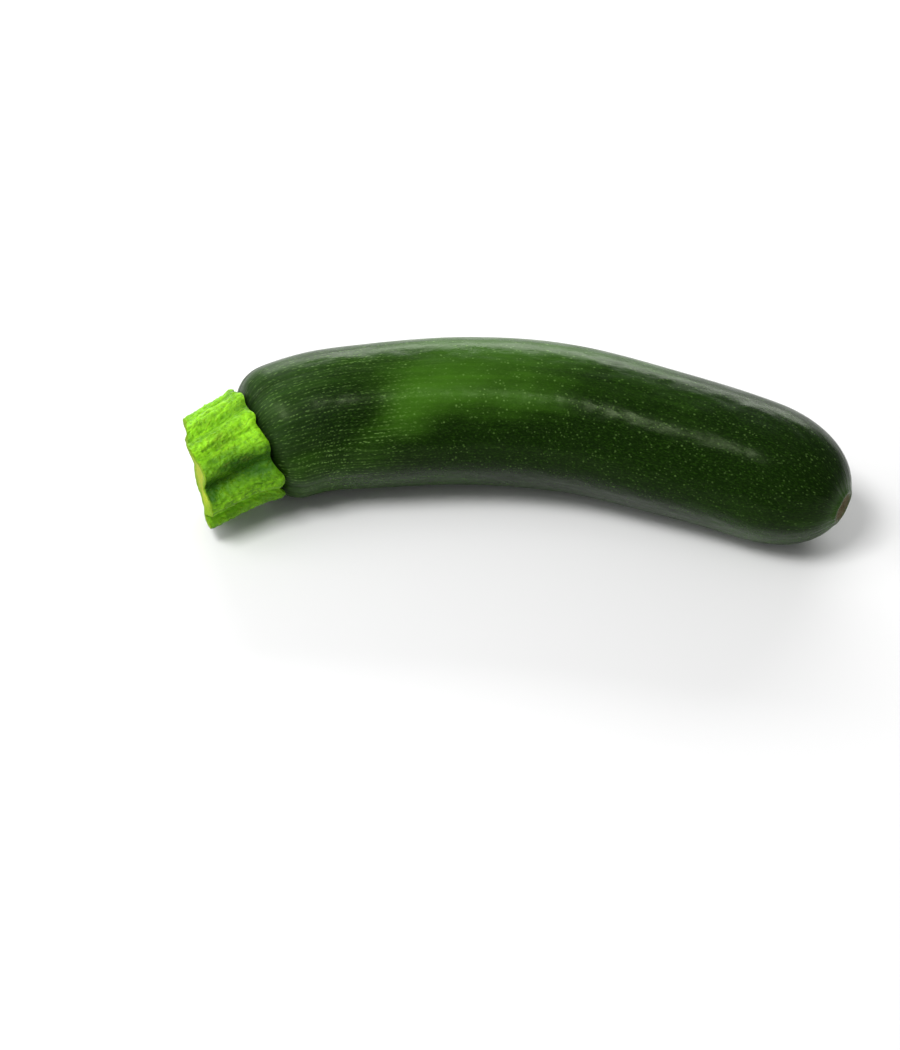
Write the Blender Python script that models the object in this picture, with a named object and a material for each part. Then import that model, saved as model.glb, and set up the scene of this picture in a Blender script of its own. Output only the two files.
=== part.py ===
"""A long dark green zucchini as picked, lying on its underside, with the ribbed stub of its stem.

Metres, +Z up. The stem points to -X, the blossom end to +X, and the fruit bows away from the
front, so that both its ends come forward. The origin is on the ground, under the middle of the
whole object's box.

Both pieces are laid round one bent centre line. A place on them is given by the distance along
that line from the fruit's stem end, and by the angle round it: 0 degrees at the front, 90 on top.
"""

import math

import bmesh
import bpy
import numpy as np

MM = 0.001

# The bent centre line: its place along the length and how far it has bent away there, in mm
CENTRE_LINE = (
    (-88.0, 38.8), (-66.0, 20.1), (-48.0, 9.4), (-28.0, 4.3), (0.0, -0.2),
    (30.0, -0.1), (60.0, 6.3), (90.0, 14.9), (122.0, 29.7),
)
LEAN = 12.0             # degrees that the plane of the bend leans down towards the front
LINE_STEPS = 400

# The fruit, with its half-width in mm at shares of its length
FRUIT_FROM = -65.3      # mm, where the fruit starts and ends along the length
FRUIT_TO = 113.8
HALF_WIDTHS = (
    (0.0, 20.8), (0.1, 21.4), (0.25, 22.1), (0.45, 22.4), (0.65, 21.7), (0.85, 21.0), (1.0, 20.2),
)
STEM_END = (13.0, 2.5)      # mm that each end takes to round off, and how square it stays
BLOSSOM_END = (30.0, 2.3)

# Six soft ridges run the length of the fruit, at these angles
RIDGES = (53.0, 118.0, 182.0, 236.0, 304.0, 358.0)
RIDGE_HEIGHT = 0.016        # share of the half-width

# Furrows on the shoulder carry on from the valleys of the stem and fade out
FURROW_DEPTH = 0.028
FURROW_REACH = 20.0         # mm

# The dry scar at the blossom end: a low ring round a dimple with a small nub, in mm
SCAR_RING = (5.2, 1.1, 0.45)        # radius, breadth, height
SCAR_DIMPLE = (4.4, 0.7)            # radius, depth
SCAR_NUB = (1.3, 0.6)

# The underside has set flat in a narrow strip where the fruit lay
SEAT_LEVEL = -23.45         # mm below the crown of the centre line
SEAT_PRESS = 0.35           # mm of the round form that the strip has taken off
SEAT_SPREAD = 52.0          # degrees to each side of the bottom
SEAT_BOTTOM = 270.0
SEAT_ENDS = (-60.0, -42.0, 84.0, 100.0)     # mm along the length, where it fades in and out

# The stem's ribs: angle, height of the crest as a share of the stem's half-width, and how
# deep the valley after it is next to the deepest
RIBS = (
    (-2.0, 1.08, 1.0), (43.0, 0.99, 0.35), (72.0, 0.97, 0.6), (103.0, 1.0, 0.8),
    (145.0, 1.0, 0.8), (190.0, 1.02, 0.9), (237.0, 0.93, 0.9), (283.0, 0.93, 1.0),
    (327.0, 1.05, 1.0),
)
STEM_LENGTH = 17.6          # mm of centre line between the cut and the fruit
CREST_WIDTHS = (            # mm, at shares of the way from the cut to the toes
    (0.0, 16.8), (0.3, 17.2), (0.6, 17.6), (0.85, 18.2), (0.94, 18.7), (1.0, 18.2),
)
VALLEY_DEPTHS = ((0.0, 0.19), (0.35, 0.23), (0.75, 0.18), (1.0, 0.13))
VALLEY_NARROWING = 1.6      # 1 gives waves, higher gives broad round ribs and narrow valleys
TOE_OVERHANG = 1.5          # mm that the blunt toes stand out from where the stem meets the fruit
CUT_DISH = 0.5              # mm that the soft middle of the cut has sunk
GAP = 0.45                  # mm along the line between stem and fruit

CUT_SLANT = 5.1             # mm that the cut runs out from its middle to the side where most is left
CUT_SLANT_SIDE = -9.0       # degrees round the centre line where that side is
# The uneven rim: angle, and how many mm more of the stem's side than of its middle are left there
CUT_REACH = (
    (-35.0, 6.4), (0.0, 5.7), (22.0, 4.5), (50.0, 2.9), (78.0, 2.7), (100.0, -0.6),
    (125.0, -3.2), (160.0, -4.4), (200.0, -3.8), (250.0, -0.2), (295.0, 3.6),
)

# The nets of faces: divisions round, and rings from end to end
FRUIT_NET = (60, 48)
FRUIT_END_DENSITY = 0.7     # 0 spreads the rings evenly, nearer 1 gathers them at the ends
STEM_NET = (88, 30)
CUT_RINGS = 0.2             # share of the stem's rings on the cut
TOE_RINGS = 0.8             # share at which they turn in under the toes

FRUIT_GREEN = (0.011, 0.042, 0.006, 1.0)
STEM_GREEN = (0.16, 0.47, 0.02, 1.0)


def curve_through(x, knots):
    """Return the height at x of a smooth curve through unevenly spaced knots."""
    kx, ky = np.array(knots, dtype=float).T
    step = np.diff(kx)
    rise = np.diff(ky) / step
    inner = (rise[:-1] * step[1:] + rise[1:] * step[:-1]) / (step[:-1] + step[1:])
    slope = np.concatenate((rise[:1], inner, rise[-1:]))
    i = np.clip(np.searchsorted(kx, x) - 1, 0, len(kx) - 2)
    t = (x - kx[i]) / step[i]
    start = (1 + 2 * t) * (1 - t) ** 2 * ky[i] + t * (1 - t) ** 2 * step[i] * slope[i]
    finish = t * t * (3 - 2 * t) * ky[i + 1] + t * t * (t - 1) * step[i] * slope[i + 1]
    return start + finish


def curve_round(angle, knots):
    """Return the height at an angle of a smooth closed curve through knots round the line."""
    turns = [(knot + turn, height) for turn in (-360.0, 0.0, 360.0) for knot, height in knots]
    return curve_through(angle % 360.0, turns)


def smooth_step(x, low, high):
    """Return 0 below low, 1 above high and a smooth change between."""
    t = np.clip((x - low) / (high - low), 0.0, 1.0)
    return t * t * (3 - 2 * t)


class CentreLine:
    """The bent line, with the front and up directions of the section at each place on it."""

    def __init__(self):
        x = np.linspace(CENTRE_LINE[0][0], CENTRE_LINE[-1][0], LINE_STEPS)
        bend = curve_through(x, CENTRE_LINE)
        lean = math.radians(LEAN)
        self.points = np.stack((x, -bend * math.cos(lean), -bend * math.sin(lean)), axis=1)
        along = np.gradient(self.points, axis=0)
        along /= np.linalg.norm(along, axis=1)[:, None]
        up = np.array((0.0, 0.0, 1.0)) - along[:, 2:3] * along
        self.up = up / np.linalg.norm(up, axis=1)[:, None]
        self.front = np.cross(along, self.up)
        steps = np.linalg.norm(np.diff(self.points, axis=0), axis=1)
        distance = np.concatenate(((0.0,), np.cumsum(steps)))
        self.distance = distance - np.interp(FRUIT_FROM, x, distance)
        self.fruit_length = np.interp(FRUIT_TO, x, self.distance)

    def read(self, values, s):
        """Return the points or directions at the distances s."""
        return np.stack([np.interp(s, self.distance, values[:, i]) for i in range(3)], axis=-1)

    def place(self, s, radius, angle):
        """Return the points at a distance, a radius and an angle round the line."""
        turn = np.radians(angle)[:, None]
        out = np.cos(turn) * self.read(self.front, s) + np.sin(turn) * self.read(self.up, s)
        return self.read(self.points, s) + radius[:, None] * out


LINE = CentreLine()


def across_ribs(angle):
    """Return 0 on the crest of a rib, rising to 1 in the valleys beside it."""
    crests = np.array([rib[0] for rib in RIBS])
    crests = np.concatenate((crests, crests[:1] + 360.0))
    turned = (angle - crests[0]) % 360.0 + crests[0]
    phase = np.interp(turned, crests, np.arange(len(crests)))
    return 2 * np.abs(phase - np.round(phase))


def crest_height(angle):
    """Return the height of the crests, carried evenly from rib to rib."""
    angles, heights, _ = np.array(RIBS).T
    return np.interp(angle, angles, heights, period=360.0)


def valley_share(angle):
    """Return how deep the valley at an angle is next to the deepest."""
    angles, _, shares = np.array(RIBS).T
    turned = (angle - angles[0]) % 360.0 + angles[0]
    return shares[np.searchsorted(angles, turned, side="right") - 1]


def ridge_wave(angle):
    """Return 1 on the fruit's ridges and -1 half way between them."""
    ridges = np.array(RIDGES)
    ridges = np.concatenate((ridges, ridges[:1] + 360.0))
    turned = (angle - ridges[0]) % 360.0 + ridges[0]
    return np.cos(2 * math.pi * np.interp(turned, ridges, np.arange(len(ridges))))


def rounded_end(distance, end):
    """Return the share of the full width at a distance from a rounded end."""
    length, squareness = end
    left = np.clip(1 - distance / length, 0.0, 1.0)
    return (1 - left ** squareness) ** (1 / squareness)


def plain_radius(s):
    """Return the fruit's half-width without its ridges."""
    length = LINE.fruit_length
    width = curve_through(np.clip(s / length, 0.0, 1.0), HALF_WIDTHS)
    return width * rounded_end(s, STEM_END) * rounded_end(length - s, BLOSSOM_END)


def seat_growth(s, radius, angle):
    """Return how far the underside swells down to the level that the fruit lies on."""
    along = LINE.read(LINE.points, s)
    down = LINE.read(LINE.up, s)[:, 2]
    wanted = (along[:, 2] - SEAT_LEVEL + SEAT_PRESS) / down
    fade = smooth_step(along[:, 0], *SEAT_ENDS[:2]) * (1 - smooth_step(along[:, 0], *SEAT_ENDS[2:]))
    near = np.clip(np.abs(angle % 360.0 - SEAT_BOTTOM) / SEAT_SPREAD, 0.0, 1.0)
    return np.maximum(wanted - radius, 0.0) * fade * np.cos(near * math.pi / 2) ** 2


def fruit_radius(s, angle):
    """Return the fruit's half-width at a distance and an angle, ridges and furrows included."""
    ridges = RIDGE_HEIGHT * ridge_wave(angle)
    valleys = across_ribs(angle) ** 3 * valley_share(angle)
    furrows = FURROW_DEPTH * valleys * np.exp(-s / FURROW_REACH)
    radius = plain_radius(s) * (1 + ridges - furrows)
    return radius + seat_growth(s, radius, angle)


def scar_relief(radius):
    """Return how far the blossom end stands out along the line at a radius."""
    ring, breadth, height = SCAR_RING
    relief = height * np.exp(-((radius - ring) / breadth) ** 2)
    relief -= SCAR_DIMPLE[1] * np.exp(-(radius / SCAR_DIMPLE[0]) ** 4)
    return relief + SCAR_NUB[1] * np.exp(-(radius / SCAR_NUB[0]) ** 2)


def ring_distances(t):
    """Return where along the fruit the net's rings lie, closer together at both ends."""
    length = LINE.fruit_length
    s = length * (1 - np.cos(np.linspace(0, math.pi, LINE_STEPS))) / 2
    outline = np.hypot(np.diff(s), np.diff(plain_radius(s)))
    outline = np.concatenate(((0.0,), np.cumsum(outline)))
    share = t - FRUIT_END_DENSITY * np.sin(2 * math.pi * t) / (2 * math.pi)
    return np.interp(share * outline[-1], outline, s)


def fruit_points(t, angle):
    """Return the fruit's surface, for shares of the rings from the stem end and angles."""
    s = ring_distances(t)
    radius = fruit_radius(s, angle)
    at_blossom_end = s > LINE.fruit_length / 2
    s = s + np.where(at_blossom_end, scar_relief(radius), 0.0)
    points = LINE.place(s, radius, angle)
    points[:, 2] = np.maximum(points[:, 2], SEAT_LEVEL)
    return points


def crest_radius(share, angle):
    """Return the stem's half-width, for shares of the way from the cut to the toes."""
    crest = curve_through(share, CREST_WIDTHS) * crest_height(angle)
    valley = curve_through(share, VALLEY_DEPTHS) * valley_share(angle)
    return crest * (1 - valley * smooth_step(across_ribs(angle), 0.0, 1.0) ** VALLEY_NARROWING)


def fruit_face(radius, angle):
    """Return how far along the fruit's stem end its surface reaches a radius."""
    steps = np.linspace(0.0, STEM_END[0], LINE_STEPS)
    every = np.repeat(steps[None, :], len(angle), axis=0)
    sizes = fruit_radius(every.ravel(), np.repeat(angle, LINE_STEPS)).reshape(every.shape)
    return np.array([np.interp(r, size, steps) for r, size in zip(radius, sizes)])


def cut_reach(across_cut, angle):
    """Return how many mm further than its middle the cut stands out, at shares of the way across."""
    slant = CUT_SLANT * np.cos(np.radians(angle - CUT_SLANT_SIDE))
    return slant * across_cut + (curve_round(angle, CUT_REACH) - slant) * across_cut ** 2


def stem_points(t, angle):
    """Return the stem's surface: the cut, the ribbed side, and the face against the fruit."""
    share = np.clip((t - CUT_RINGS) / (TOE_RINGS - CUT_RINGS), 0.0, 1.0)
    across_cut = np.clip(t / CUT_RINGS, 0.0, 1.0)
    across_face = np.clip((1 - t) / (1 - TOE_RINGS), 0.0, 1.0)
    radius = crest_radius(share, angle) * across_cut * across_face

    cut = -STEM_LENGTH - cut_reach(across_cut, angle)
    cut = cut + CUT_DISH * (1 - across_cut ** 2)
    meets = np.minimum(radius, crest_radius(1.0 + 0.0 * t, angle) - TOE_OVERHANG)
    toes = fruit_face(meets, angle) - GAP
    return LINE.place(cut + (toes - cut) * share, radius, angle)


def material(name, colour, roughness):
    """Return a plain finish in one colour."""
    made = bpy.data.materials.new(name)
    made.use_nodes = True
    shader = made.node_tree.nodes["Principled BSDF"]
    shader.inputs["Base Color"].default_value = colour
    shader.inputs["Roughness"].default_value = roughness
    shader.inputs["Metallic"].default_value = 0.0
    return made


def wrapped_net(name, net, points_at, finish):
    """Add a ball's net of faces whose points are laid on a surface, from -X to +X."""
    mesh = bpy.data.meshes.new(name)
    form = bmesh.new()
    bmesh.ops.create_uvsphere(form, u_segments=net[0], v_segments=net[1], radius=1.0)
    ball = np.array([vert.co for vert in form.verts])
    t = np.arccos(np.clip(ball[:, 2], -1.0, 1.0)) / math.pi
    angle = np.degrees(np.arctan2(ball[:, 1], ball[:, 0]))
    for vert, point in zip(form.verts, points_at(t, angle) * MM):
        vert.co = point
    bmesh.ops.triangulate(form, faces=form.faces)
    form.to_mesh(mesh)
    form.free()
    mesh.shade_smooth()
    mesh.materials.append(finish)
    return bpy.data.objects.new(name, mesh)


def set_on_ground(pieces):
    """Move the meshes so that the whole stands on z = 0, with its box centred on the origin."""
    corners = np.array([vert.co for piece in pieces for vert in piece.data.vertices])
    low, high = corners.min(axis=0), corners.max(axis=0)
    shift = np.array((-(low[0] + high[0]) / 2, -(low[1] + high[1]) / 2, -low[2]))
    for piece in pieces:
        for vert in piece.data.vertices:
            vert.co = np.array(vert.co) + shift


def main():
    for old in list(bpy.data.objects):
        bpy.data.objects.remove(old)
    pieces = (
        wrapped_net("fruit", FRUIT_NET, fruit_points, material("fruit skin", FRUIT_GREEN, 0.3)),
        wrapped_net("stem", STEM_NET, stem_points, material("stem skin", STEM_GREEN, 0.55)),
    )
    set_on_ground(pieces)
    zucchini = bpy.data.collections.new("zucchini")
    bpy.context.scene.collection.children.link(zucchini)
    for piece in pieces:
        zucchini.objects.link(piece)


main()
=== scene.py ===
"""The looks of a long zucchini: its waxy flecked skin and its fibrous cut stem, on a pale floor.

Run as a script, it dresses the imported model. Lengths that describe the fruit's form are in
millimetres, as on the drawing of the part; the mesh and the settings are in metres.
"""

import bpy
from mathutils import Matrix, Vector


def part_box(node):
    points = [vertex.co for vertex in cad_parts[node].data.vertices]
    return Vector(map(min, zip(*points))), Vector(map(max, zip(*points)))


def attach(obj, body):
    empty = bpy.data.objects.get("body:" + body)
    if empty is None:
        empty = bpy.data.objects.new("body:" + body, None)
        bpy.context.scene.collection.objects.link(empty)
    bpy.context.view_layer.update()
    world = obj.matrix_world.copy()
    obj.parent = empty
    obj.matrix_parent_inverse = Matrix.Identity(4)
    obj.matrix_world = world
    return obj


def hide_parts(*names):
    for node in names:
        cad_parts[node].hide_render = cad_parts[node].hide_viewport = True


bl_info = {
    "name": "Zucchini",
    "version": (1, 0, 0),
    "blender": (4, 5, 0),
    "location": "3D View > Sidebar > Zucchini",
    "description": "Adds a long zucchini with a cut stem, and a small studio round it",
    "category": "Add Mesh",
}

import math
from typing import NamedTuple

import bpy
import numpy as np
from bpy.props import FloatProperty, FloatVectorProperty, IntProperty, PointerProperty
from mathutils import Vector, noise

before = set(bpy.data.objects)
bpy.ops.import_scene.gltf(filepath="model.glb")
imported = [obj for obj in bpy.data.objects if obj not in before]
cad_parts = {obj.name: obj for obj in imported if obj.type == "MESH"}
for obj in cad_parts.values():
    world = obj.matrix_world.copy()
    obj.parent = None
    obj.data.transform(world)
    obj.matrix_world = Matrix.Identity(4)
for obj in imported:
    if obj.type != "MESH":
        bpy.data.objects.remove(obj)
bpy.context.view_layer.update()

BODY = "root"
MM = 0.001

# The bent centre line: its place along the length and how far it has bent away there, in mm
CENTRE_LINE = (
    (-88.0, 38.8), (-66.0, 20.1), (-48.0, 9.4), (-28.0, 4.3), (0.0, -0.2),
    (30.0, -0.1), (60.0, 6.3), (90.0, 14.9), (122.0, 29.7),
)
LEAN = 12.0                 # degrees that the plane of the bend leans down towards the front
LINE_STEPS = 400            # pieces that the line and the outline are measured in

# The fruit, with its half-width in mm at shares of its length
FRUIT_FROM = -65.3          # mm along the length, where the centre line enters and leaves it
FRUIT_TO = 113.8
HALF_WIDTHS = (
    (0.0, 20.8), (0.1, 21.4), (0.25, 22.1), (0.45, 22.4), (0.65, 21.7), (0.85, 21.0), (1.0, 20.2),
)
STEM_END = (13.0, 2.5)      # mm that each end takes to round off, and how square it stays
BLOSSOM_END = (30.0, 2.3)
RIDGES = (53.0, 118.0, 182.0, 236.0, 304.0, 358.0)      # angles
RIDGE_HEIGHT = 0.016        # share of the half-width
FURROW_DEPTH = 0.028
FURROW_REACH = 20.0         # mm from the stem within which the furrows fade
FURROW_SHARPNESS = 3
SCAR_RING = (5.2, 1.1, 0.45)    # mm: its radius, half its breadth and its height
SCAR_DIMPLE = (4.4, 0.7)        # mm: radius and depth
SCAR_NUB = (1.3, 0.6)           # mm: radius and height

# The flat spot that the fruit rests on, in mm and degrees
SEAT_LEVEL = -23.45
SEAT_PRESS = 0.35           # how far the fruit swells past that level before it is flattened
SEAT_SPREAD = 52.0
SEAT_BOTTOM = 270.0
SEAT_ENDS = (-60.0, -42.0, 84.0, 100.0)     # where it starts, is whole, starts to end, and ends

# The nets of faces
SOLID_NET = (60, 48)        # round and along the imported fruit
END_DENSITY = 0.7           # 0 spreads the fruit's rings evenly, nearer 1 gathers them at the ends
CUT_RINGS = 0.2             # share of the stem's rings that lie on the cut
TOE_RINGS = 0.8             # and the share up to the tips of the toes
SEAM = 1e-6                 # m, within which points of a rolled sheet are joined

# The stem's ribs: angle, height of the crest as a share of the stem's half-width, and how
# deep the valley after it is next to the deepest
RIBS = (
    (-2.0, 1.08, 1.0), (43.0, 0.99, 0.35), (72.0, 0.97, 0.6), (103.0, 1.0, 0.8),
    (145.0, 1.0, 0.8), (190.0, 1.02, 0.9), (237.0, 0.93, 0.9), (283.0, 0.93, 1.0),
    (327.0, 1.05, 1.0),
)
STEM_LENGTH = 17.6

# Half-widths in mm at the crests, at shares of the way from the cut to the toes, and how deep
# the valleys are there, as shares of them
CREST_WIDTHS = (
    (0.0, 16.8), (0.3, 17.2), (0.6, 17.6), (0.85, 18.2), (0.94, 18.7), (1.0, 18.2),
)
VALLEY_DEPTHS = ((0.0, 0.19), (0.35, 0.23), (0.75, 0.18), (1.0, 0.13))
VALLEY_NARROWING = 1.6      # above 1 the valleys are narrower than the ribs
TOE_OVERHANG = 1.5          # mm at the edge of the toes that don't follow the fruit's face
GAP = 0.45                  # mm between the toes and the fruit
CUT_DISH = 0.5              # mm that the middle of the cut is hollow
CUT_SLANT = 5.1             # mm that the cut stands out on the side at CUT_SLANT_SIDE degrees
CUT_SLANT_SIDE = -9.0
# The uneven rim: angle, and how many mm more of the stem's side than of its middle are left there
CUT_REACH = (
    (-35.0, 6.4), (0.0, 5.7), (22.0, 4.5), (50.0, 2.9), (78.0, 2.7), (100.0, -0.6),
    (125.0, -3.2), (160.0, -4.4), (200.0, -3.8), (250.0, -0.2), (295.0, 3.6),
)
HALVINGS = 22               # steps that close in on where the stem meets the fruit

# The fine relief stays inside the solid's faces
SKIN_INSET = 0.07           # mm
EDGE_FROM = 0.93            # share of the way across the cut where its edge starts to round off
EDGE_ROUND = 0.5            # mm

# Radii in mm of the even rolls that the patterns on the two skins are laid on
FRUIT_RADIUS = 22.0
STEM_RADIUS = 17.0


def curve_through(x, knots):
    """Return the height at x of a smooth curve through unevenly spaced knots."""
    kx, ky = np.array(knots, dtype=float).T
    step = np.diff(kx)
    rise = np.diff(ky) / step
    inner = (rise[:-1] * step[1:] + rise[1:] * step[:-1]) / (step[:-1] + step[1:])
    slope = np.concatenate((rise[:1], inner, rise[-1:]))
    i = np.clip(np.searchsorted(kx, x) - 1, 0, len(kx) - 2)
    t = (x - kx[i]) / step[i]
    start = (1 + 2 * t) * (1 - t) ** 2 * ky[i] + t * (1 - t) ** 2 * step[i] * slope[i]
    finish = t * t * (3 - 2 * t) * ky[i + 1] + t * t * (t - 1) * step[i] * slope[i + 1]
    return start + finish


def curve_round(angle, knots):
    """Return the height at an angle of a smooth closed curve through knots round the line."""
    turns = [(knot + turn, height) for turn in (-360.0, 0.0, 360.0) for knot, height in knots]
    return curve_through(angle % 360.0, turns)


def smooth_step(x, low, high):
    """Return 0 below low, 1 above high and a smooth change between."""
    t = np.clip((x - low) / (high - low), 0.0, 1.0)
    return t * t * (3 - 2 * t)


class CentreLine:
    """The bent line, with the front and up directions of the section at each place on it."""

    def __init__(self):
        x = np.linspace(CENTRE_LINE[0][0], CENTRE_LINE[-1][0], LINE_STEPS)
        bend = curve_through(x, CENTRE_LINE)
        lean = math.radians(LEAN)
        self.points = np.stack((x, -bend * math.cos(lean), -bend * math.sin(lean)), axis=1)
        along = np.gradient(self.points, axis=0)
        along /= np.linalg.norm(along, axis=1)[:, None]
        up = np.array((0.0, 0.0, 1.0)) - along[:, 2:3] * along
        self.up = up / np.linalg.norm(up, axis=1)[:, None]
        self.front = np.cross(along, self.up)
        steps = np.linalg.norm(np.diff(self.points, axis=0), axis=1)
        distance = np.concatenate(((0.0,), np.cumsum(steps)))
        self.distance = distance - np.interp(FRUIT_FROM, x, distance)
        self.fruit_length = np.interp(FRUIT_TO, x, self.distance)

    def read(self, values, s):
        """Return the points or directions at the distances s."""
        return np.stack([np.interp(s, self.distance, values[:, i]) for i in range(3)], axis=-1)

    def place(self, s, radius, angle):
        """Return the points at a distance, a radius and an angle round the line."""
        turn = np.radians(angle)[:, None]
        out = np.cos(turn) * self.read(self.front, s) + np.sin(turn) * self.read(self.up, s)
        return self.read(self.points, s) + radius[:, None] * out


LINE = CentreLine()


def across_ribs(angle):
    """Return 0 on the crest of a rib, rising to 1 in the valleys beside it."""
    crests = np.array([rib[0] for rib in RIBS])
    crests = np.concatenate((crests, crests[:1] + 360.0))
    turned = (angle - crests[0]) % 360.0 + crests[0]
    phase = np.interp(turned, crests, np.arange(len(crests)))
    return 2 * np.abs(phase - np.round(phase))


def crest_height(angle):
    """Return the height of the crests, carried evenly from rib to rib."""
    angles, heights, _ = np.array(RIBS).T
    return np.interp(angle, angles, heights, period=360.0)


def valley_share(angle):
    """Return how deep the valley at an angle is next to the deepest."""
    angles, _, shares = np.array(RIBS).T
    turned = (angle - angles[0]) % 360.0 + angles[0]
    return shares[np.searchsorted(angles, turned, side="right") - 1]


def ridge_wave(angle):
    """Return 1 on the fruit's ridges and -1 half way between them."""
    ridges = np.array(RIDGES)
    ridges = np.concatenate((ridges, ridges[:1] + 360.0))
    turned = (angle - ridges[0]) % 360.0 + ridges[0]
    return np.cos(2 * math.pi * np.interp(turned, ridges, np.arange(len(ridges))))


def rounded_end(distance, end):
    """Return the share of the full width at a distance from a rounded end."""
    length, squareness = end
    left = np.clip(1 - distance / length, 0.0, 1.0)
    return (1 - left ** squareness) ** (1 / squareness)


def plain_radius(s):
    """Return the fruit's half-width without its ridges."""
    length = LINE.fruit_length
    width = curve_through(np.clip(s / length, 0.0, 1.0), HALF_WIDTHS)
    return width * rounded_end(s, STEM_END) * rounded_end(length - s, BLOSSOM_END)


def seat_growth(s, radius, angle):
    """Return how far the underside swells down to the level that the fruit lies on."""
    along = LINE.read(LINE.points, s)
    down = LINE.read(LINE.up, s)[:, 2]
    wanted = (along[:, 2] - SEAT_LEVEL + SEAT_PRESS) / down
    fade = smooth_step(along[:, 0], *SEAT_ENDS[:2]) * (1 - smooth_step(along[:, 0], *SEAT_ENDS[2:]))
    near = np.clip(np.abs(angle % 360.0 - SEAT_BOTTOM) / SEAT_SPREAD, 0.0, 1.0)
    return np.maximum(wanted - radius, 0.0) * fade * np.cos(near * math.pi / 2) ** 2


def furrow_share(s, angle):
    """Return 1 in the furrows where they leave the stem, fading along the fruit."""
    return across_ribs(angle) ** FURROW_SHARPNESS * np.exp(-s / FURROW_REACH)


def fruit_radius(s, angle):
    """Return the fruit's half-width at a distance and an angle, ridges and furrows included."""
    ridges = RIDGE_HEIGHT * ridge_wave(angle)
    furrows = FURROW_DEPTH * furrow_share(s, angle) * valley_share(angle)
    radius = plain_radius(s) * (1 + ridges - furrows)
    return radius + seat_growth(s, radius, angle)


def scar_relief(radius):
    """Return how far the blossom end stands out along the line at a radius."""
    ring, breadth, height = SCAR_RING
    relief = height * np.exp(-((radius - ring) / breadth) ** 2)
    relief -= SCAR_DIMPLE[1] * np.exp(-(radius / SCAR_DIMPLE[0]) ** 4)
    return relief + SCAR_NUB[1] * np.exp(-(radius / SCAR_NUB[0]) ** 2)


def ring_distances(t):
    """Return where along the fruit the net's rings lie, closer together at both ends."""
    length = LINE.fruit_length
    s = length * (1 - np.cos(np.linspace(0, math.pi, LINE_STEPS))) / 2
    outline = np.hypot(np.diff(s), np.diff(plain_radius(s)))
    outline = np.concatenate(((0.0,), np.cumsum(outline)))
    share = t - END_DENSITY * np.sin(2 * math.pi * t) / (2 * math.pi)
    return np.interp(share * outline[-1], outline, s)


def fruit_surface(t, angle, relief=None):
    """Return the fruit's points, with how far along and how far out each lies."""
    s = ring_distances(t)
    radius = fruit_radius(s, angle)
    if relief is not None:
        radius = np.maximum(radius + relief(s, angle), 0.0)
    at_blossom_end = s > LINE.fruit_length / 2
    s = s + np.where(at_blossom_end, scar_relief(radius), 0.0)
    points = LINE.place(s, radius, angle)
    points[:, 2] = np.maximum(points[:, 2], SEAT_LEVEL)
    return points, s, radius


def crest_radius(share, angle):
    """Return the stem's half-width, for shares of the way from the cut to the toes."""
    crest = curve_through(share, CREST_WIDTHS) * crest_height(angle)
    valley = curve_through(share, VALLEY_DEPTHS) * valley_share(angle)
    return crest * (1 - valley * smooth_step(across_ribs(angle), 0.0, 1.0) ** VALLEY_NARROWING)


def cut_reach(across_cut, angle):
    """Return how many mm the cut stands out past its middle, at shares of the way across."""
    slant = CUT_SLANT * np.cos(np.radians(angle - CUT_SLANT_SIDE))
    return slant * across_cut + (curve_round(angle, CUT_REACH) - slant) * across_cut ** 2


def fruit_face(radius, angle):
    """Return how far along the fruit's stem end its surface reaches a radius."""
    low = np.zeros_like(radius)
    high = np.full_like(radius, STEM_END[0])
    for _ in range(HALVINGS):
        middle = (low + high) / 2
        short = fruit_radius(middle, angle) < radius
        low = np.where(short, middle, low)
        high = np.where(short, high, middle)
    return (low + high) / 2


def packed_shift():
    """Return how the drawing's points move, in mm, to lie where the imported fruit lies."""
    around, rings = SOLID_NET
    angle, t = np.meshgrid(np.arange(around) * 360.0 / around, np.arange(rings + 1) / rings)
    points = fruit_surface(t.ravel(), angle.ravel())[0]
    low = np.array(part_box("fruit")[0]) / MM
    return low - points.min(axis=0)


SHIFT = packed_shift()
CROWN = Vector(SHIFT * MM)      # the crown of the centre line, in the frame
SEED_STEP = (17.3, 5.1, 9.7)    # how far apart the places are that the seeds start from


def noise_at(places, size, seed):
    """Return smooth noise from -1 to 1 at places in mm, with lumps of about a size in mm."""
    away = Vector([seed * step for step in SEED_STEP])
    return np.array([noise.noise(Vector(place) / size + away) for place in places])


def around_line(radius, s, angle):
    """Return places for patterns that run round a line without a seam."""
    turn = np.radians(angle)
    return np.stack((radius * np.cos(turn), radius * np.sin(turn), s), axis=1)


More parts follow.
